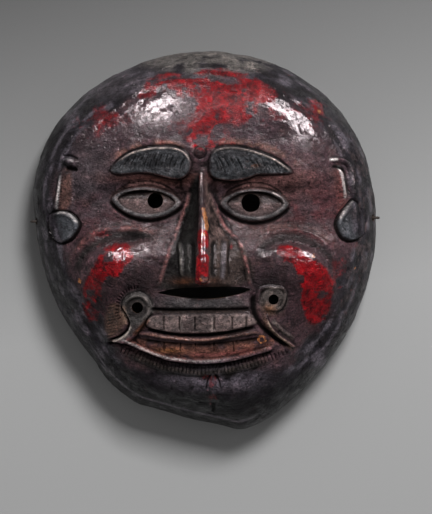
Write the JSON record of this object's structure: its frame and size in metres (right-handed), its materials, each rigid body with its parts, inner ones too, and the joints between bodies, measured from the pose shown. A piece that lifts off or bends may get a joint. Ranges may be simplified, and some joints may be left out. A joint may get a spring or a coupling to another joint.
{
  "type": "carved wooden demon mask",
  "caption": "Carved wooden demon mask with pierced bulging eyes, heavy brows, bared teeth and scrolled mouth corners; hollow behind, with knotted thong stubs in its side tie holes.",
  "frame": {"origin": "centre of the bounding box, on the plane of the back rim", "axes": "+Z out of the face, +Y towards the crown, +X towards the viewer's right when the face is looked at"},
  "size_m": [0.2379, 0.2598, 0.1125],
  "materials": {
    "lacquered_wood": "aged dark lacquer with rubbed red paint, glossy where it is handled",
    "leather_thong": "dry, dark and worn"
  },
  "bodies": {
    "root": {"mask": "lacquered_wood", "tie_right": "leather_thong", "tie_left": "leather_thong"}
  },
  "joints": []
}
